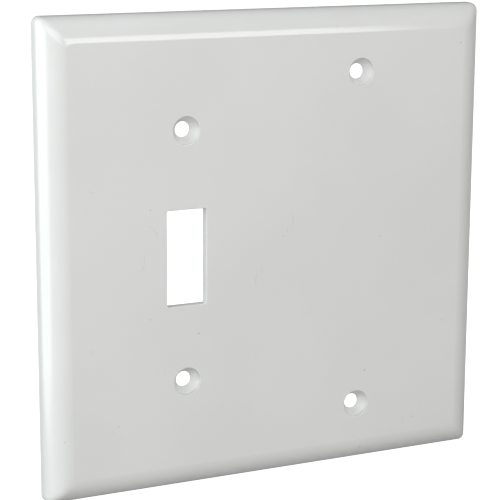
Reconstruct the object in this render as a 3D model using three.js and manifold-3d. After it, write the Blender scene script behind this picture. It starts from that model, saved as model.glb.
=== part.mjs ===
// Two-gang wall plate: a toggle-switch opening on the left, a blank on the right.
// One moulding in glossy white plastic, hollow behind, with four countersunk screw holes.
// Millimetres. The wall is the plane y = 0, the face looks towards -Y, and +Z is up.
// The origin is the middle of the back rim, where the plate meets the wall.

import * as THREE from 'three';
import { mergeVertices } from 'three/addons/utils/BufferGeometryUtils.js';
import Module from 'manifold-3d';

// Outline of a standard two-gang plate.
const WIDTH = 115.8;
const HEIGHT = 114.3;
const DEPTH = 7.0;
const CORNER_RADIUS = 1.7;

// Section of the edge, from the wall forwards: upright rim, wide rounded arris, bevel, crown and flat
// face. RIM_DEPTH is where the rim and the bevel would meet if the arris were sharp. The crown meets
// the face, FACE_INSET from the outline, at a faint crease.
const RIM_DEPTH = 3.6;
const RIM_DRAFT = 0.1;
const ARRIS_RADIUS = 4.2;
const BEVEL_ANGLE = THREE.MathUtils.degToRad(45);
const CREASE_ANGLE = THREE.MathUtils.degToRad(5);
const FACE_INSET = 5.9;

// Walls of the moulding.
const FACE_THICKNESS = 2.3;
const RIM_THICKNESS = 2.0;
const HOLLOW_DRAFT = 0.15;
const HOLLOW_CORNER_RADIUS = 1.4;
const SHARPEST_CORNER = 1.5;

// The two gangs stand side by side at the standard spacing.
const GANG_SPACING = 46.04;
const SWITCH_X = -GANG_SPACING / 2;
const BLANK_X = GANG_SPACING / 2;
const SWITCH_SCREW_SPACING = 60.33;
const BLANK_SCREW_SPACING = 83.34;

// Opening for the toggle.
const OPENING_WIDTH = 10.0;
const OPENING_HEIGHT = 23.0;
const OPENING_CORNER_RADIUS = 0.5;
const OPENING_CHAMFER = 0.2;

// Holes for number 6 oval-head screws, each through a low round boss: a straight-sided lip at the
// face, then a countersink down to the bore.
const HOLE_RADIUS = 1.85;
const SINK_RADIUS = 3.35;
const SINK_LIP = 0.85;
const SINK_HALF_ANGLE = THREE.MathUtils.degToRad(41);
const BOSS_RADIUS = 4.8;
const BOSS_LENGTH = 0.7;

// Stiffening rib between the gangs, which stops short of the rim, and the marks of the mould's
// ejector pins.
const RIB_THICKNESS = 1.4;
const RIB_LENGTH = 98;
const RIB_DEPTH = 1.5;
const RIB_END_RADIUS = 0.5;
const EJECTOR_RADIUS = 2.5;
const EJECTOR_DEPTH = 0.15;
const EJECTOR_INSET = 9;

const CORNER_STEPS = 8;
const CROWN_STEPS = 7;
const ARRIS_STEPS = 7;
const ROUND_STEPS = 40;
const OVERSHOOT = 1;
const SAME_POINT = 1e-4;

const FACE_Y = -DEPTH;
const INNER_FACE_Y = FACE_Y + FACE_THICKNESS;

const screwHoles = [
  { x: SWITCH_X, z: SWITCH_SCREW_SPACING / 2 },
  { x: SWITCH_X, z: -SWITCH_SCREW_SPACING / 2 },
  { x: BLANK_X, z: BLANK_SCREW_SPACING / 2 },
  { x: BLANK_X, z: -BLANK_SCREW_SPACING / 2 },
];

const wasm = await Module();
wasm.setup();

// A closed three.js geometry as a solid that can be joined and cut.
function solid(geometry) {
  const bare = geometry.clone();
  bare.deleteAttribute('normal');
  bare.deleteAttribute('uv');
  const merged = mergeVertices(bare, SAME_POINT);
  const corners = merged.index.array;
  const triangles = [];
  for (let i = 0; i < corners.length; i += 3) {
    const [a, b, c] = corners.slice(i, i + 3);
    if (a !== b && b !== c && c !== a) {
      triangles.push(a, b, c);
    }
  }
  return new wasm.Manifold(new wasm.Mesh({
    numProp: 3,
    vertProperties: new Float32Array(merged.attributes.position.array),
    triVerts: new Uint32Array(triangles),
  }));
}

function geometryOf(manifold) {
  const mesh = manifold.getMesh();
  const geometry = new THREE.BufferGeometry();
  geometry.setAttribute('position', new THREE.BufferAttribute(mesh.vertProperties, 3));
  geometry.setIndex(new THREE.BufferAttribute(mesh.triVerts, 1));
  geometry.computeVertexNormals();
  return geometry;
}

// Points round a rectangle with rounded corners, parallel to the wall at height y,
// anticlockwise as seen from the front.
function roundedRing({ y, halfWidth, halfHeight, radius }) {
  const ring = [];
  const corners = [[1, 1], [-1, 1], [-1, -1], [1, -1]];
  corners.forEach(([sideX, sideZ], quarter) => {
    for (let step = 0; step <= CORNER_STEPS; step += 1) {
      const angle = (quarter + step / CORNER_STEPS) * Math.PI / 2;
      ring.push(new THREE.Vector3(
        sideX * (halfWidth - radius) + radius * Math.cos(angle),
        y,
        sideZ * (halfHeight - radius) + radius * Math.sin(angle),
      ));
    }
  });
  return ring;
}

// Closed skin over a stack of rounded rectangles, listed from the wall side forwards.
function loft(levels) {
  const rings = levels.map(roundedRing);
  const count = rings[0].length;
  const points = rings.flat();
  const faces = [];
  for (let level = 0; level + 1 < rings.length; level += 1) {
    for (let i = 0; i < count; i += 1) {
      const a = level * count + i;
      const b = level * count + (i + 1) % count;
      faces.push(a, b, a + count, b, b + count, a + count);
    }
  }
  const back = points.length;
  const front = back + 1;
  const top = (rings.length - 1) * count;
  points.push(new THREE.Vector3(0, levels[0].y, 0), new THREE.Vector3(0, levels.at(-1).y, 0));
  for (let i = 0; i < count; i += 1) {
    const next = (i + 1) % count;
    faces.push(back, next, i);
    faces.push(front, top + i, top + next);
  }
  const geometry = new THREE.BufferGeometry().setFromPoints(points);
  geometry.setIndex(faces);
  return geometry;
}

// The plate's section as [inset from the outline, y], from the wall to the flat face.
function edgeSection() {
  const arrisInset = RIM_DRAFT + ARRIS_RADIUS;
  const arrisY = ARRIS_RADIUS * Math.tan(BEVEL_ANGLE / 2) - RIM_DEPTH;
  const crownRadius = crownReach() / Math.tan((BEVEL_ANGLE - CREASE_ANGLE) / 2);
  const crownInset = FACE_INSET + crownRadius * Math.sin(CREASE_ANGLE);
  const crownY = FACE_Y + crownRadius * Math.cos(CREASE_ANGLE);
  return [
    [0, 0],
    ...arc(arrisInset, arrisY, ARRIS_RADIUS, 0, BEVEL_ANGLE, ARRIS_STEPS),
    ...arc(crownInset, crownY, crownRadius, BEVEL_ANGLE, Math.PI / 2 - CREASE_ANGLE, CROWN_STEPS),
  ];
}

// How far the crown's sharp corner, where the bevel's line meets the line that slopes down to it
// from the crease, lies from the crease.
function crownReach() {
  const bevelSlope = Math.tan(BEVEL_ANGLE);
  const creaseSlope = Math.tan(CREASE_ANGLE);
  const across = FACE_INSET - RIM_DRAFT;
  const bevelRun = (DEPTH - RIM_DEPTH - across * creaseSlope) / (bevelSlope - creaseSlope);
  return (across - bevelRun) / Math.cos(CREASE_ANGLE);
}

// Points of the section on an arc, its angle counted from straight outwards towards the face.
function arc(centreInset, centreY, radius, from, to, steps) {
  return Array.from({ length: steps + 1 }, (_, step) => {
    const angle = from + (to - from) * step / steps;
    return [centreInset - radius * Math.cos(angle), centreY - radius * Math.sin(angle)];
  });
}

// A rounded rectangle set in from the plate's outline; its corners close up as it shrinks.
function insetLevel([inset, y], cornerRadius = CORNER_RADIUS) {
  return {
    y,
    halfWidth: WIDTH / 2 - inset,
    halfHeight: HEIGHT / 2 - inset,
    radius: Math.max(cornerRadius - inset, SHARPEST_CORNER),
  };
}

function outerShell() {
  return solid(loft(edgeSection().map((step) => insetLevel(step))));
}

// The hollow behind the face: straight sides, then a chamfer that runs parallel to the bevel outside.
function hollow() {
  const chamfer = RIM_THICKNESS;
  const chamferY = INNER_FACE_Y + chamfer;
  const cornerRadius = HOLLOW_CORNER_RADIUS + RIM_THICKNESS;
  const steps = [
    [RIM_THICKNESS, OVERSHOOT],
    [RIM_THICKNESS, 0],
    [RIM_THICKNESS + HOLLOW_DRAFT, chamferY],
    [RIM_THICKNESS + HOLLOW_DRAFT + chamfer, INNER_FACE_Y],
  ];
  return solid(loft(steps.map((step) => insetLevel(step, cornerRadius))));
}

// A straight-sided bar that stands on the inner face and is rooted in it.
function centreRib() {
  const level = (y) => ({
    y,
    halfWidth: RIB_THICKNESS / 2,
    halfHeight: RIB_LENGTH / 2,
    radius: RIB_END_RADIUS,
  });
  return solid(loft([level(INNER_FACE_Y + RIB_DEPTH), level(INNER_FACE_Y - FACE_THICKNESS / 2)]));
}

function toggleOpening() {
  const level = (y, growth) => ({
    y,
    halfWidth: OPENING_WIDTH / 2 + growth,
    halfHeight: OPENING_HEIGHT / 2 + growth,
    radius: OPENING_CORNER_RADIUS + growth,
  });
  return solid(loft([
    level(OVERSHOOT, 0),
    level(FACE_Y + OPENING_CHAMFER, 0),
    level(FACE_Y - OPENING_CHAMFER, 2 * OPENING_CHAMFER),
  ]).translate(SWITCH_X, 0, 0));
}

function boss({ x, z }) {
  const buried = FACE_THICKNESS / 2;
  const length = BOSS_LENGTH + buried;
  const post = new THREE.CylinderGeometry(BOSS_RADIUS, BOSS_RADIUS, length, ROUND_STEPS);
  return solid(post.translate(x, INNER_FACE_Y - buried + length / 2, z));
}

// Cutter for one screw hole: straight through the lip, then a cone, then the bore.
function screwHole({ x, z }) {
  const coneDepth = (SINK_RADIUS - HOLE_RADIUS) / Math.tan(SINK_HALF_ANGLE);
  const profile = [
    new THREE.Vector2(0, FACE_Y - OVERSHOOT),
    new THREE.Vector2(SINK_RADIUS, FACE_Y - OVERSHOOT),
    new THREE.Vector2(SINK_RADIUS, FACE_Y + SINK_LIP),
    new THREE.Vector2(HOLE_RADIUS, FACE_Y + SINK_LIP + coneDepth),
    new THREE.Vector2(HOLE_RADIUS, OVERSHOOT),
    new THREE.Vector2(0, OVERSHOOT),
  ];
  return solid(new THREE.LatheGeometry(profile, ROUND_STEPS).translate(x, 0, z));
}

// A shallow round dent in the inner face, where a pin pushed the plate out of the mould.
function ejectorMark([x, z]) {
  const height = 2 * EJECTOR_DEPTH;
  const dent = new THREE.CylinderGeometry(EJECTOR_RADIUS, EJECTOR_RADIUS, height, ROUND_STEPS);
  return solid(dent.translate(x, INNER_FACE_Y, z));
}

function ejectorPlaces() {
  const cornerX = WIDTH / 2 - EJECTOR_INSET;
  const cornerZ = HEIGHT / 2 - EJECTOR_INSET;
  const places = [];
  for (const side of [-1, 1]) {
    for (const z of [-cornerZ, 0, cornerZ]) {
      places.push([side * cornerX, z]);
    }
    places.push([BLANK_X, side * BLANK_SCREW_SPACING / 4]);
  }
  return places;
}

function wallPlate() {
  let plate = outerShell().subtract(hollow());
  for (const added of [centreRib(), ...screwHoles.map(boss)]) {
    plate = plate.add(added);
  }
  for (const cut of [toggleOpening(), ...screwHoles.map(screwHole), ...ejectorPlaces().map(ejectorMark)]) {
    plate = plate.subtract(cut);
  }
  const whitePlastic = new THREE.MeshStandardMaterial({ color: 0xe9eae8, roughness: 0.28, metalness: 0 });
  const mesh = new THREE.Mesh(geometryOf(plate), whitePlastic);
  mesh.name = 'wall_plate';
  return mesh;
}

const cover = new THREE.Group();
cover.add(wallPlate());

export default cover;
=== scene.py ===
"""Looks for a white two-gang wall plate: a toggle opening on the left, a blank on the right.

The real plate is one glossy moulding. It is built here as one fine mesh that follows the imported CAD
solid, with its arrises rounded, its walls drafted and its inner corners filleted, and it stands for
that solid. Shapes are worked out in millimetres and scaled to Blender's metres at the end.
The wall is the plane y = 0, the face looks towards -Y, and +Z is up.
"""

import math

import bmesh
import bpy
from mathutils import Matrix, Vector
from mathutils.geometry import delaunay_2d_cdt


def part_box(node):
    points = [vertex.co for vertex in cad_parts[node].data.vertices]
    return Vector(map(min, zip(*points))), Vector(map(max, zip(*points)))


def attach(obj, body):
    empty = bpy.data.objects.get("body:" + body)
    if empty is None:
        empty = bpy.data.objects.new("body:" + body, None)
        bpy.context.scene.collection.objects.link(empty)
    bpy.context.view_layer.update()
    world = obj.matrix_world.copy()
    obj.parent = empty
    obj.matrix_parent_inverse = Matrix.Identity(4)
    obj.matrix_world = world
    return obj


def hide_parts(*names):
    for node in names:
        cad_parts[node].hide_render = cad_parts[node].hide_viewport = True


MM = 0.001
NODE = "wall_plate"

# Section of the edge. RIM_DEPTH is where the rim and the bevel would meet if the arris were sharp.
# The crown meets the flat face at a faint crease, and takes CROWN_SHARE of the room it has.
# No corner of an outline, on the front or in the hollow, is sharper than SHARPEST_CORNER.
CORNER_RADIUS = 1.7
SHARPEST_CORNER = 1.5
RIM_DEPTH = 3.6
RIM_DRAFT = 0.1
ARRIS_RADIUS = 4.2
BEVEL_ANGLE = math.radians(45)
CREASE_ANGLE = math.radians(5)
CREASE_ROUND = 0.25
CROWN_SHARE = 0.97
FACE_INSET = 5.9

# Walls of the moulding.
FACE_THICKNESS = 2.3
RIM_THICKNESS = 2.0
HOLLOW_DRAFT = 0.15
HOLLOW_CORNER_RADIUS = 3.4

# The two gangs and their screws.
GANG_SPACING = 46.04
SWITCH_X = -GANG_SPACING / 2
BLANK_X = GANG_SPACING / 2
SWITCH_SCREW_SPACING = 60.33
BLANK_SCREW_SPACING = 83.34

# Toggle opening.
OPENING_HALF_WIDTH = 10.0 / 2
OPENING_HALF_HEIGHT = 23.0 / 2
OPENING_CORNER_RADIUS = 0.5
OPENING_EDGE_RADIUS = 0.2

# Countersunk screw holes and their bosses.
HOLE_RADIUS = 1.85
SINK_RADIUS = 3.35
SINK_LIP = 0.85
SINK_HALF_ANGLE = math.radians(41)
SINK_EDGE_RADIUS = 0.10
BORE_EDGE_RADIUS = 0.1
BOSS_RADIUS = 4.8
BOSS_LENGTH = 0.7

# Rings on the cone of a countersink, which leave RIDGE_MARGIN of its length plain at each end.
RIDGES = 5
RIDGE_HEIGHT = 0.014
RIDGE_STEPS = 6
RIDGE_MARGIN = 0.15

# Rib between the gangs, ejector-pin marks and the gate's stub, all on the inner face.
RIB_HALF_THICKNESS = 1.4 / 2
RIB_HALF_LENGTH = 98 / 2
RIB_DEPTH = 1.5
RIB_END_RADIUS = 0.5
EJECTOR_RADIUS = 2.5
EJECTOR_DEPTH = 0.15
EJECTOR_INSET = 9
GATE_RADIUS = 1.3
GATE_HEIGHT = 0.35

# What the sections share. MARGIN is the most that one of them runs on over the flat it ends in.
DRAFT = 0.08
FILLET = 0.3
SMALL_ROUND = 0.18
MARGIN = 1.0

# Fineness of the mesh.
CORNER_STEPS = 12
SIDE_STEPS = 40
CIRCLE_STEPS = 72
ARC_STEP = math.radians(5)
FACE_GRID = 2.6
SAME_POINT = 1e-6
INSIDE_ONLY = 1

# The plate's two materials.
FRONT = 0
BACK = 1


# ---------------------------------------------------------------- sections

def round_off(corners):
    """The line through corners (across, y, radius), each corner with a radius turned into an arc."""
    line = []
    for index, (across, y, radius) in enumerate(corners):
        corner = Vector((across, y))
        if radius == 0:
            line.append(corner)
            continue
        before = (Vector(corners[index - 1][:2]) - corner).normalized()
        after = (Vector(corners[index + 1][:2]) - corner).normalized()
        half_gap = before.angle(after) / 2
        centre = corner + (before + after).normalized() * radius / math.sin(half_gap)
        start = corner + before * radius / math.tan(half_gap) - centre
        end = corner + after * radius / math.tan(half_gap) - centre
        turn = start.angle_signed(end)
        steps = max(3, math.ceil(abs(turn) / ARC_STEP))
        for step in range(steps + 1):
            angle = -turn * step / steps
            line.append(centre + Matrix.Rotation(angle, 2) @ start)
    return line


def plate_section(depth):
    """Across is the inset from the outline: from the inner face round the rim to the flat face."""
    inner_y = FACE_THICKNESS - depth
    hollow = RIM_THICKNESS + HOLLOW_DRAFT
    chamfer = RIM_THICKNESS
    crease_slope = math.tan(CREASE_ANGLE)
    bevel_slope = math.tan(BEVEL_ANGLE)
    drop = depth - RIM_DEPTH
    run = (drop - (FACE_INSET - RIM_DRAFT) * crease_slope) / (bevel_slope - crease_slope)
    crown_corner = (RIM_DRAFT + run, -RIM_DEPTH - run * bevel_slope)
    crown_reach = math.dist(crown_corner, (FACE_INSET, -depth))
    crown_radius = crown_reach / math.tan((BEVEL_ANGLE - CREASE_ANGLE) / 2)
    back = round_off([
        (hollow + chamfer + MARGIN, inner_y, 0),
        (hollow + chamfer, inner_y, 2 * FILLET),
        (hollow, inner_y + chamfer, 3 * FILLET),
        (RIM_THICKNESS, 0, SMALL_ROUND),
        (RIM_THICKNESS / 2, 0, 0),
    ])
    front = round_off([
        (RIM_THICKNESS / 2, 0, 0),
        (0, 0, SMALL_ROUND),
        (RIM_DRAFT, -RIM_DEPTH, ARRIS_RADIUS),
        (*crown_corner, crown_radius * CROWN_SHARE),
        (FACE_INSET, -depth, CREASE_ROUND),
        (FACE_INSET + MARGIN / 2, -depth, 0),
    ])
    return back, front


def opening_section(depth):
    """Across is the growth of the opening: from the face, through to the inner face."""
    inner_y = FACE_THICKNESS - depth
    return round_off([
        (MARGIN, -depth, 0),
        (0, -depth, OPENING_EDGE_RADIUS),
        (0, inner_y, SMALL_ROUND),
        (MARGIN, inner_y, 0),
    ])


def hole_section(depth):
    """Across is the radius: from the face down the lip, the cone and the bore, then round the boss."""
    inner_y = FACE_THICKNESS - depth
    boss_y = inner_y + BOSS_LENGTH
    lip_y = SINK_LIP - depth
    bore_y = lip_y + (SINK_RADIUS - HOLE_RADIUS) / math.tan(SINK_HALF_ANGLE)
    return round_off([
        (SINK_RADIUS + MARGIN, -depth, 0),
        (SINK_RADIUS, -depth, SINK_EDGE_RADIUS),
        (SINK_RADIUS, lip_y, SMALL_ROUND),
        *turning_ridges((SINK_RADIUS, lip_y), (HOLE_RADIUS, bore_y)),
        (HOLE_RADIUS, bore_y, SMALL_ROUND),
        (HOLE_RADIUS, boss_y, BORE_EDGE_RADIUS),
        (BOSS_RADIUS, boss_y, SMALL_ROUND),
        (BOSS_RADIUS + DRAFT, inner_y, FILLET),
        (BOSS_RADIUS + DRAFT + MARGIN, inner_y, 0),
    ])


def turning_ridges(start, end):
    """Fine rings that the turned core pin left on the cone: a wave between its plain ends."""
    along = Vector(end) - Vector(start)
    outwards = Vector((-along.y, along.x)).normalized()
    steps = RIDGES * RIDGE_STEPS
    points = []
    for step in range(steps + 1):
        share = RIDGE_MARGIN + (1 - 2 * RIDGE_MARGIN) * step / steps
        lift = RIDGE_HEIGHT * (1 - math.cos(2 * math.pi * step / RIDGE_STEPS)) / 2
        place = Vector(start) + along * share + outwards * lift
        points.append((place.x, place.y, 0))
    return points


def rib_section(depth):
    """Across is the growth of the rib's plan: from the middle of its crest down to the inner face."""
    inner_y = FACE_THICKNESS - depth
    crest_y = inner_y + RIB_DEPTH
    return round_off([
        (-RIB_HALF_THICKNESS / 2 - DRAFT, crest_y, 0),
        (-DRAFT, crest_y, SMALL_ROUND),
        (0, inner_y, FILLET),
        (MARGIN, inner_y, 0),
    ])


def ejector_section(depth):
    inner_y = FACE_THICKNESS - depth
    sunk_y = inner_y - EJECTOR_DEPTH
    edge = EJECTOR_DEPTH / 3
    return round_off([
        (EJECTOR_RADIUS - MARGIN / 2, sunk_y, 0),
        (EJECTOR_RADIUS, sunk_y, edge),
        (EJECTOR_RADIUS, inner_y, edge),
        (EJECTOR_RADIUS + MARGIN / 2, inner_y, 0),
    ])


def gate_section(depth):
    inner_y = FACE_THICKNESS - depth
    top_y = inner_y + GATE_HEIGHT
    return round_off([
        (GATE_RADIUS / 2, top_y, 0),
        (GATE_RADIUS, top_y, GATE_HEIGHT / 4),
        (GATE_RADIUS + DRAFT, inner_y, GATE_HEIGHT / 3),
        (GATE_RADIUS + MARGIN / 2, inner_y, 0),
    ])


# ---------------------------------------------------------------- mesh

def rounded_rectangle(centre, half_width, half_height, radius, y):
    """Points round a rectangle with rounded corners, always the same number of them."""
    cx, cz = centre
    ring = []
    for quarter, (side_x, side_z) in enumerate([(1, 1), (-1, 1), (-1, -1), (1, -1)]):
        hub_x = cx + side_x * (half_width - radius)
        hub_z = cz + side_z * (half_height - radius)
        for step in range(CORNER_STEPS + 1):
            angle = (quarter + step / CORNER_STEPS) * math.pi / 2
            ring.append(Vector((hub_x + radius * math.cos(angle), y, hub_z + radius * math.sin(angle))))
    return subdivide_sides(ring)


def subdivide_sides(ring):
    """Splits the straight sides, which lie between one corner's last point and the next's first."""
    corner = CORNER_STEPS + 1
    divided = []
    for quarter in range(4):
        arc = ring[quarter * corner:(quarter + 1) * corner]
        next_start = ring[(quarter + 1) * corner % len(ring)]
        divided += arc
        divided += [arc[-1].lerp(next_start, step / SIDE_STEPS) for step in range(1, SIDE_STEPS)]
    return divided


def circle(centre, radius, y):
    cx, cz = centre
    turns = [2 * math.pi * step / CIRCLE_STEPS for step in range(CIRCLE_STEPS)]
    return [Vector((cx + radius * math.cos(turn), y, cz + radius * math.sin(turn))) for turn in turns]


class Skin:
    """The moulding's surface while it is being joined up from rings of points."""

    def __init__(self):
        self.mesh = bmesh.new()

    def rings(self, outlines):
        return [[self.mesh.verts.new(point) for point in outline] for outline in outlines]

    def face(self, corners, material):
        made = self.mesh.faces.new(corners)
        made.material_index = material
        made.smooth = True

    def wall(self, rings, material):
        for near, far in zip(rings, rings[1:]):
            for i in range(len(near)):
                j = (i + 1) % len(near)
                self.face((near[i], near[j], far[j], far[i]), material)

    def flat(self, outline, holes, material, spacing=None):
        """Fills a flat region between an outline and the holes in it with well-shaped triangles."""
        loops = [outline, *holes]
        corners = [vert for loop in loops for vert in loop]
        owner = [index for index, loop in enumerate(loops) for _ in loop]
        edges = []
        for loop in loops:
            first = len(edges)
            edges += [(first + i, first + (i + 1) % len(loop)) for i in range(len(loop))]
        places = [Vector((vert.co.x, vert.co.z)) for vert in corners]
        if spacing:
            y = outline[0].co.y
            for x, z in grid_inside(outline, holes, spacing):
                places.append(Vector((x, z)))
                corners.append(self.mesh.verts.new((x, y, z)))
                owner.append(0)
        _, _, triangles, sources, _, _ = delaunay_2d_cdt(
            places, edges, [], INSIDE_ONLY, SAME_POINT, True)
        for triangle in triangles:
            chosen = [sources[corner][0] for corner in triangle]
            hole = owner[chosen[0]]
            if hole and all(owner[corner] == hole for corner in chosen):
                continue
            self.face([corners[corner] for corner in chosen], material)


def grid_inside(outline, holes, spacing):
    """Grid points inside the outline that keep clear of it and of every hole's bounding box."""
    low_x, high_x, low_z, high_z = extent(outline, -spacing / 2)
    boxes = [extent(hole, spacing / 2) for hole in holes]
    columns = round((high_x - low_x) / spacing)
    rows = round((high_z - low_z) / spacing)
    for column in range(columns + 1):
        x = low_x + (high_x - low_x) * column / columns
        for row in range(rows + 1):
            z = low_z + (high_z - low_z) * row / rows
            if not any(a < x < b and c < z < d for a, b, c, d in boxes):
                yield x, z


def extent(ring, margin):
    xs = [vert.co.x for vert in ring]
    zs = [vert.co.z for vert in ring]
    return min(xs) - margin, max(xs) + margin, min(zs) - margin, max(zs) + margin


def screw_places():
    switch_z = SWITCH_SCREW_SPACING / 2
    blank_z = BLANK_SCREW_SPACING / 2
    return [(SWITCH_X, switch_z), (SWITCH_X, -switch_z), (BLANK_X, blank_z), (BLANK_X, -blank_z)]


def ejector_places(width, height):
    corner_x = width / 2 - EJECTOR_INSET
    corner_z = height / 2 - EJECTOR_INSET
    places = [(side * corner_x, z) for side in (-1, 1) for z in (-corner_z, 0, corner_z)]
    return places + [(BLANK_X, side * BLANK_SCREW_SPACING / 4) for side in (-1, 1)]


def build_plate(width, height, depth):
    skin = Skin()

    def outline(inset, y, corner_radius):
        radius = max(corner_radius - inset, SHARPEST_CORNER)
        return rounded_rectangle((0, 0), width / 2 - inset, height / 2 - inset, radius, y)

    back, front = plate_section(depth)
    back_rings = skin.rings([outline(inset, y, HOLLOW_CORNER_RADIUS) for inset, y in back[:-1]])
    front_rings = skin.rings([outline(inset, y, CORNER_RADIUS) for inset, y in front])
    skin.wall(back_rings + front_rings[:1], BACK)
    skin.wall(front_rings, FRONT)

    def opening(growth, y):
        return rounded_rectangle(
            (SWITCH_X, 0), OPENING_HALF_WIDTH + growth, OPENING_HALF_HEIGHT + growth,
            OPENING_CORNER_RADIUS + growth, y)

    face_holes = []
    inner_holes = []
    rings = skin.rings([opening(growth, y) for growth, y in opening_section(depth)])
    skin.wall(rings, FRONT)
    face_holes.append(rings[0])
    inner_holes.append(rings[-1])

    for place in screw_places():
        rings = skin.rings([circle(place, radius, y) for radius, y in hole_section(depth)])
        skin.wall(rings, FRONT)
        face_holes.append(rings[0])
        inner_holes.append(rings[-1])

    rib = [
        rounded_rectangle((0, 0), RIB_HALF_THICKNESS + growth, RIB_HALF_LENGTH + growth,
                          max(RIB_END_RADIUS + growth, DRAFT), y)
        for growth, y in rib_section(depth)
    ]
    raised = [rib]
    raised += [
        [circle(place, radius, y) for radius, y in ejector_section(depth)]
        for place in ejector_places(width, height)
    ]
    raised.append([circle((BLANK_X, 0), radius, y) for radius, y in gate_section(depth)])
    for outlines in raised:
        rings = skin.rings(outlines)
        skin.wall(rings, BACK)
        skin.flat(rings[0], [], BACK)
        inner_holes.append(rings[-1])

    skin.flat(front_rings[-1], face_holes, FRONT, FACE_GRID)
    skin.flat(back_rings[0], inner_holes, BACK, FACE_GRID)

    bmesh.ops.scale(skin.mesh, vec=(MM, MM, MM), verts=skin.mesh.verts)
    bmesh.ops.recalc_face_normals(skin.mesh, faces=skin.mesh.faces)
    data = bpy.data.meshes.new("plate_moulding")
    skin.mesh.to_mesh(data)
    skin.mesh.free()
    plate = bpy.data.objects.new("plate_moulding", data)
    bpy.context.collection.objects.link(plate)
    weighted = plate.modifiers.new("flat_faces_stay_flat", "WEIGHTED_NORMAL")
    weighted.keep_sharp = False
    weighted.weight = 50
    return plate


# ---------------------------------------------------------------- materials

# Marks and unevenness of the plastic. Sizes, heights and depths are in millimetres.
CLOUD_SIZE = 30
MOTTLE_SIZE = 4
SWELL_SIZE = 7
SWELL_HEIGHT = 0.004
GLOSS_SPREAD = 0.02
SPECK_STRENGTH = 0.55
SPECK_COLOUR = (0.30, 0.29, 0.26, 1)
SCUFF_STRENGTH = 0.30
SCUFF_COLOUR = (0.42, 0.42, 0.43, 1)
SCUFF_DULLING = 0.15
SCUFF_DEPTH = 0.003
SCUFF_GAP_SIZE = 0.5
PLASTIC_IOR = 1.55

FIBRE_SIZE = 2
PAPER_DARK = (0.86, 0.86, 0.86, 1)
PAPER_LIGHT = (0.90, 0.90, 0.90, 1)


class Graph:
    """A short way to write a node tree."""

    def __init__(self, tree):
        self.tree = tree
        tree.nodes.clear()

    def node(self, kind, settings=None, **inputs):
        made = self.tree.nodes.new(kind)
        for name, value in (settings or {}).items():
            setattr(made, name, value)
        for name, value in inputs.items():
            self.plug(made.inputs[name.replace("_", " ")], value)
        return made

    def plug(self, socket, value):
        if isinstance(value, bpy.types.NodeSocket):
            self.tree.links.new(value, socket)
        else:
            socket.default_value = value

    def math(self, operation, first, second=0.0):
        made = self.tree.nodes.new("ShaderNodeMath")
        made.operation = operation
        self.plug(made.inputs[0], first)
        self.plug(made.inputs[1], second)
        return made.outputs[0]

    def ramp(self, value, low, high, to_low=0.0, to_high=1.0):
        made = self.tree.nodes.new("ShaderNodeMapRange")
        made.interpolation_type = "SMOOTHSTEP"
        for socket, given in zip(made.inputs, (value, low, high, to_low, to_high)):
            self.plug(socket, given)
        return made.outputs[0]

    def mix(self, factor, first, second):
        made = self.tree.nodes.new("ShaderNodeMix")
        made.data_type = "RGBA"
        self.plug(made.inputs["Factor"], factor)
        self.plug(made.inputs[6], first)
        self.plug(made.inputs[7], second)
        return made.outputs[2]


def material(name):
    made = bpy.data.materials.new(name)
    made.use_nodes = True
    return made, Graph(made.node_tree)


def noise(graph, place, size_mm, detail=3.0, roughness=0.5):
    """Noise whose features are about size_mm across."""
    return graph.node("ShaderNodeTexNoise", Vector=place, Scale=1 / (size_mm * MM),
                      Detail=detail, Roughness=roughness).outputs[0]


def scatter(graph, place, spacing_mm, share):
    """A scatter of places: metres from the nearest (x, z), its random colour, whether it shows."""
    cells = graph.node("ShaderNodeTexVoronoi", Vector=place, Scale=1 / (spacing_mm * MM))
    away = graph.node("ShaderNodeVectorMath", {"operation": "SUBTRACT"})
    graph.plug(away.inputs[0], place)
    graph.plug(away.inputs[1], cells.outputs["Position"])
    offset = graph.node("ShaderNodeSeparateXYZ", Vector=away.outputs[0])
    chance = graph.node("ShaderNodeSeparateColor", Color=cells.outputs["Color"]).outputs
    shown = graph.math("LESS_THAN", chance[1], share)
    return offset.outputs["X"], offset.outputs["Z"], chance, shown


def specks(graph, place, spacing_mm, share, radius_mm):
    """Tiny round specks of dirt in the plastic."""
    x, z, chance, shown = scatter(graph, place, spacing_mm, share)
    squared = graph.math("ADD", graph.math("MULTIPLY", x, x), graph.math("MULTIPLY", z, z))
    distance = graph.math("SQRT", squared)
    size = graph.ramp(chance[0], 0.0, 1.0, 0.6 * radius_mm * MM, radius_mm * MM)
    dot = graph.ramp(graph.math("DIVIDE", distance, size), 0.5, 1.0, 1.0, 0.0)
    return graph.math("MULTIPLY", dot, shown)


def scuffs(graph, place, spacing_mm, share, length_mm, width_mm, bend):
    """Short, slightly bent rub marks that lie at every angle."""
    x, z, chance, shown = scatter(graph, place, spacing_mm, share)
    angle = graph.math("MULTIPLY", chance[0], 2 * math.pi)
    cosine = graph.math("COSINE", angle)
    sine = graph.math("SINE", angle)
    along = graph.math("ADD", graph.math("MULTIPLY", x, cosine), graph.math("MULTIPLY", z, sine))
    aside = graph.math("SUBTRACT", graph.math("MULTIPLY", z, cosine), graph.math("MULTIPLY", x, sine))
    bow = graph.math("MULTIPLY", graph.math("MULTIPLY", along, along), bend / MM)
    aside = graph.math("ABSOLUTE", graph.math("SUBTRACT", aside, bow))
    half_length = length_mm * MM / 2
    half_width = width_mm * MM / 2
    line = graph.ramp(aside, half_width / 2, half_width, 1.0, 0.0)
    reach = graph.ramp(graph.math("ABSOLUTE", along), half_length / 2, half_length, 1.0, 0.0)
    patchy = graph.ramp(noise(graph, place, SCUFF_GAP_SIZE), 0.35, 0.6)
    mark = graph.math("MULTIPLY", graph.math("MULTIPLY", line, reach), patchy)
    return graph.math("MULTIPLY", mark, shown)


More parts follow.
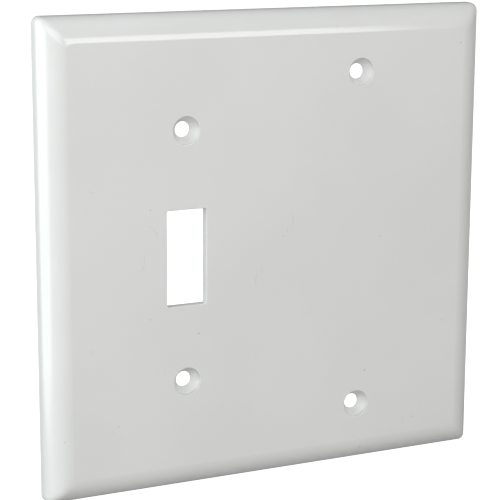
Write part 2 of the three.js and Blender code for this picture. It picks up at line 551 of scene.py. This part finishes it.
def plastic(name, white, tint, roughness, grain_mm, grain_height_mm, worn):
    """Moulded plastic: a nearly even white with flow clouds, specks, fine grain and light scuffs."""
    made, graph = material(name)
    place = graph.node("ShaderNodeTexCoord").outputs["Object"]

    clouds = noise(graph, place, CLOUD_SIZE, detail=2.0)
    colour = graph.mix(graph.ramp(clouds, 0.35, 0.65), (*white, 1), (*tint, 1))
    dirt = specks(graph, place, spacing_mm=9, share=0.07, radius_mm=0.26)
    colour = graph.mix(graph.math("MULTIPLY", dirt, SPECK_STRENGTH), colour, SPECK_COLOUR)

    long_marks = scuffs(
        graph, place, spacing_mm=19, share=0.16, length_mm=4.5, width_mm=0.30, bend=0.10)
    short_marks = scuffs(
        graph, place, spacing_mm=13, share=0.12, length_mm=1.8, width_mm=0.22, bend=0.3)
    scuff = graph.math("MULTIPLY", graph.math("MAXIMUM", long_marks, short_marks), worn)
    colour = graph.mix(graph.math("MULTIPLY", scuff, SCUFF_STRENGTH), colour, SCUFF_COLOUR)
    mottle = noise(graph, place, MOTTLE_SIZE, detail=4.0)
    gloss = graph.ramp(mottle, 0.3, 0.7, roughness - GLOSS_SPREAD, roughness + GLOSS_SPREAD)
    gloss = graph.math("ADD", gloss, graph.math("MULTIPLY", scuff, SCUFF_DULLING))

    grain = noise(graph, place, grain_mm, detail=2.0)
    swell = noise(graph, place, SWELL_SIZE, detail=1.0)
    height = graph.math("ADD", graph.math("MULTIPLY", grain, grain_height_mm * MM),
                        graph.math("MULTIPLY", swell, SWELL_HEIGHT * MM))
    height = graph.math("SUBTRACT", height, graph.math("MULTIPLY", scuff, SCUFF_DEPTH * MM))
    bump = graph.node("ShaderNodeBump", Strength=1.0, Distance=1.0, Height=height).outputs[0]

    shader = graph.node("ShaderNodeBsdfPrincipled", Base_Color=colour, Roughness=gloss, Normal=bump,
                        IOR=PLASTIC_IOR)
    graph.node("ShaderNodeOutputMaterial", Surface=shader.outputs[0])
    return made


def floor_material():
    """Pale paper. It glows for the camera only, so the plate isn't lit from below."""
    made, graph = material("pale_floor")
    place = graph.node("ShaderNodeTexCoord").outputs["Object"]
    fibre = noise(graph, place, FIBRE_SIZE, detail=4.0)
    white = graph.mix(graph.ramp(fibre, 0.3, 0.7), PAPER_DARK, PAPER_LIGHT)
    paper = graph.node("ShaderNodeBsdfDiffuse", Color=white)
    glow = graph.node("ShaderNodeEmission", Color=(1, 1, 1, 1), Strength=FLOOR_GLOW)
    both = graph.node("ShaderNodeAddShader")
    graph.plug(both.inputs[0], paper.outputs[0])
    graph.plug(both.inputs[1], glow.outputs[0])
    graph.node("ShaderNodeOutputMaterial", Surface=both.outputs[0])
    return made


# ---------------------------------------------------------------- studio

# The floor in metres, and how brightly it shows to the camera.
FLOOR_SIZE = 12.0
FLOOR_GLOW = 0.93

# The dim room that lights the plate from everywhere, and the colours of the lamps.
ROOM_LIGHT = 0.25
ROOM_COLOUR = (1.02, 1.00, 0.98)
COOL = (0.95, 1.00, 1.02)
PLAIN = (1.00, 1.00, 1.00)
WARM = (1.02, 1.00, 0.97)

# Each softbox: direction it stands in, as seen from the plate (azimuth, elevation in degrees),
# distance, width and height in metres, radiance and colour.
# The window makes the bright line along the top edge, and the key light gives the face its tone.
# The left light brightens the left edge, and the overhead light the top one. The two fills keep
# the bottom and right edges from going black.
SOFTBOXES = {
    "window": (20, 12, 1.5, 0.60, 0.60, 3.9, PLAIN),
    "key": (-25, 25, 0.5, 0.38, 0.38, 2.25, PLAIN),
    "left": (-96, 10, 0.8, 1.00, 0.90, 2.5, COOL),
    "overhead": (-20, 80, 0.8, 0.80, 0.60, 0.35, COOL),
    "low_fill": (-40, -45, 0.8, 0.50, 0.50, 0.7, WARM),
    "right_fill": (120, 0, 1.2, 0.80, 0.80, 0.2, WARM),
}

# The camera's line of sight passes the middle of the plate's back, which lies ASIDE to its right and
# DROP above it. All seven numbers come from a perspective fit of the plate to the photograph.
# Distances, the lens and the sensor are in millimetres.
CAMERA_AZIMUTH = math.radians(-25.665)
CAMERA_ELEVATION = math.radians(12.31)
CAMERA_ROLL = math.radians(0.238)
CAMERA_DISTANCE = 424.3
CAMERA_ASIDE = 2.944
CAMERA_DROP = 1.514
CAMERA_LENS = 125.18
CAMERA_SENSOR = 36


def direction(azimuth, elevation):
    """Unit vector towards a place in front of the face at azimuth 0, to its right at 90 degrees."""
    level = math.cos(elevation)
    return Vector((math.sin(azimuth) * level, -math.cos(azimuth) * level, math.sin(elevation)))


def add_camera():
    back = direction(CAMERA_AZIMUTH, CAMERA_ELEVATION)
    level_right = Vector((math.cos(CAMERA_AZIMUTH), math.sin(CAMERA_AZIMUTH), 0))
    level_up = back.cross(level_right)
    right = level_right * math.cos(CAMERA_ROLL) + level_up * math.sin(CAMERA_ROLL)
    up = level_up * math.cos(CAMERA_ROLL) - level_right * math.sin(CAMERA_ROLL)
    place = (back * CAMERA_DISTANCE - right * CAMERA_ASIDE - up * CAMERA_DROP) * MM
    data = bpy.data.cameras.new("camera")
    data.lens = CAMERA_LENS
    data.sensor_width = CAMERA_SENSOR
    data.clip_start = 0.01
    data.clip_end = 100
    camera = bpy.data.objects.new("camera", data)
    turn = Matrix((right, up, back)).transposed().to_4x4()
    camera.matrix_world = Matrix.Translation(place) @ turn
    bpy.context.collection.objects.link(camera)
    bpy.context.scene.camera = camera


def add_softbox(name, azimuth, elevation, distance, width, height, radiance, colour):
    data = bpy.data.lights.new(name, "AREA")
    data.shape = "RECTANGLE"
    data.size = width
    data.size_y = height
    data.energy = radiance * math.pi * width * height
    data.color = colour
    lamp = bpy.data.objects.new(name, data)
    towards = direction(math.radians(azimuth), math.radians(elevation))
    lamp.location = towards * distance
    lamp.rotation_euler = towards.to_track_quat("Z", "Y").to_euler()
    lamp.visible_camera = False
    bpy.context.collection.objects.link(lamp)
    return lamp


def light_room():
    """A white surround for the camera, and a dimmer even room that lights the plate."""
    world = bpy.data.worlds.new("studio")
    bpy.context.scene.world = world
    world.use_nodes = True
    graph = Graph(world.node_tree)
    seen = graph.node("ShaderNodeLightPath").outputs["Is Camera Ray"]
    room = graph.node("ShaderNodeBackground", Color=(*ROOM_COLOUR, 1), Strength=ROOM_LIGHT)
    surround = graph.node("ShaderNodeBackground", Color=(1, 1, 1, 1), Strength=1.0)
    both = graph.node("ShaderNodeMixShader")
    for socket, source in zip(both.inputs, (seen, room.outputs[0], surround.outputs[0])):
        graph.plug(socket, source)
    graph.node("ShaderNodeOutputWorld", Surface=both.outputs[0])
    for name, settings in SOFTBOXES.items():
        add_softbox(name, *settings)
    bpy.context.scene.view_settings.view_transform = "Standard"


def add_floor(height):
    data = bpy.data.meshes.new("floor")
    half = FLOOR_SIZE / 2
    data.from_pydata(
        [(-half, -half, height), (half, -half, height), (half, half, height), (-half, half, height)],
        [], [(0, 1, 2, 3)])
    data.materials.append(floor_material())
    floor = bpy.data.objects.new("floor", data)
    floor.visible_diffuse = False
    floor.visible_glossy = False
    bpy.context.collection.objects.link(floor)


# ---------------------------------------------------------------- scene

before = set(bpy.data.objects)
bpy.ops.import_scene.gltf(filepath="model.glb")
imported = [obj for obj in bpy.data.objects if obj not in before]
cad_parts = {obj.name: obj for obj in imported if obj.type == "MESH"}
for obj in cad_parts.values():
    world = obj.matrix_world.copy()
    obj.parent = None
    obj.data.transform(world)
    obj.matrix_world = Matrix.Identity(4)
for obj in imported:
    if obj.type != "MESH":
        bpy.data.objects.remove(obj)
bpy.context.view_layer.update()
add_camera()

low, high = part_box(NODE)
size = [(b - a) / MM for a, b in zip(low, high)]
plate = build_plate(width=size[0], height=size[2], depth=size[1])
plate.data.materials.append(plastic(
    "white_plastic_gloss", white=(0.80, 0.81, 0.80), tint=(0.78, 0.79, 0.78),
    roughness=0.12, grain_mm=0.9, grain_height_mm=0.0006, worn=1.0))
plate.data.materials.append(plastic(
    "white_plastic_inside", white=(0.80, 0.81, 0.79), tint=(0.76, 0.77, 0.75),
    roughness=0.42, grain_mm=0.35, grain_height_mm=0.004, worn=0.5))
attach(plate, "root")
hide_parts(NODE)

add_floor(low[2])
light_room()
